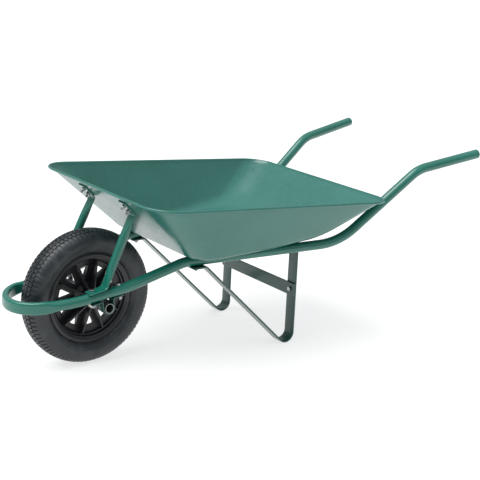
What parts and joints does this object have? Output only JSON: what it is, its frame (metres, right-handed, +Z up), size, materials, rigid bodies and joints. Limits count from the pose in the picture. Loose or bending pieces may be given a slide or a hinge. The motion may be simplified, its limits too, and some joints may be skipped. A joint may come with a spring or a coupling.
{
  "type": "wheelbarrow",
  "caption": "Single-wheel builder's wheelbarrow with a pressed steel tray, a bent tube frame with handles, braced strap legs and a spoked wheel with an air-filled tyre.",
  "frame": {"origin": "on the ground, halfway along the length, in the middle of the width", "axes": "+X points back to the handles, +Y to the right-hand side of the person pushing, +Z up"},
  "size_m": [1.518, 0.6876, 0.5778],
  "materials": {
    "green_paint": "glossy green enamel over steel",
    "zinc_plate": "bright zinc plating",
    "axle_steel": "dull steel",
    "tyre_rubber": "black moulded rubber",
    "inner_tube_rubber": "soft black rubber",
    "valve_brass": "bare brass",
    "rim_plastic": "black moulded polypropylene",
    "bush_nylon": "natural nylon"
  },
  "bodies": {
    "barrow": {"axle_bolt_front_left": "zinc_plate", "axle_bolt_front_right": "zinc_plate", "axle_bolt_rear_left": "zinc_plate", "axle_bolt_rear_right": "zinc_plate", "axle_nut_front_left": "zinc_plate", "axle_nut_front_right": "zinc_plate", "axle_nut_rear_left": "zinc_plate", "axle_nut_rear_right": "zinc_plate", "axle_saddle_left": "green_paint", "axle_saddle_right": "green_paint", "axle_spacer_left": "axle_steel", "axle_spacer_right": "axle_steel", "axle_tube": "axle_steel", "brace_bolt_left": "zinc_plate", "brace_bolt_right": "zinc_plate", "brace_nut_left": "zinc_plate", "brace_nut_right": "zinc_plate", "frame_tube": "green_paint", "front_stay_left": "green_paint", "front_stay_right": "green_paint", "handle_plug_left": "green_paint", "handle_plug_right": "green_paint", "leg_brace": "green_paint", "leg_left": "green_paint", "leg_right": "green_paint", "tray": "green_paint", "tray_floor_bolt_front_left": "zinc_plate", "tray_floor_bolt_front_right": "zinc_plate", "tray_floor_bolt_rear_left": "zinc_plate", "tray_floor_bolt_rear_right": "zinc_plate", "tray_floor_nut_front_left": "zinc_plate", "tray_floor_nut_front_right": "zinc_plate", "tray_floor_nut_rear_left": "zinc_plate", "tray_floor_nut_rear_right": "zinc_plate", "tray_front_bolt_lower_left": "zinc_plate", "tray_front_bolt_lower_right": "zinc_plate", "tray_front_bolt_upper_left": "zinc_plate", "tray_front_bolt_upper_right": "zinc_plate", "tray_front_nut_lower_left": "zinc_plate", "tray_front_nut_lower_right": "zinc_plate", "tray_front_nut_upper_left": "zinc_plate", "tray_front_nut_upper_right": "zinc_plate"},
    "wheel": {"tyre": "tyre_rubber", "inner_tube": "inner_tube_rubber", "wheel_rim": "rim_plastic", "valve_stem": "valve_brass", "valve_cap": "inner_tube_rubber", "wheel_bush_left": "bush_nylon", "wheel_bush_right": "bush_nylon"}
  },
  "joints": [
    {"name": "wheel_spin", "type": "hinge", "parent": "barrow", "child": "wheel", "pos_m": [-0.5042, 0, 0.2], "axis": [0, 1, 0], "continuous": true}
  ]
}
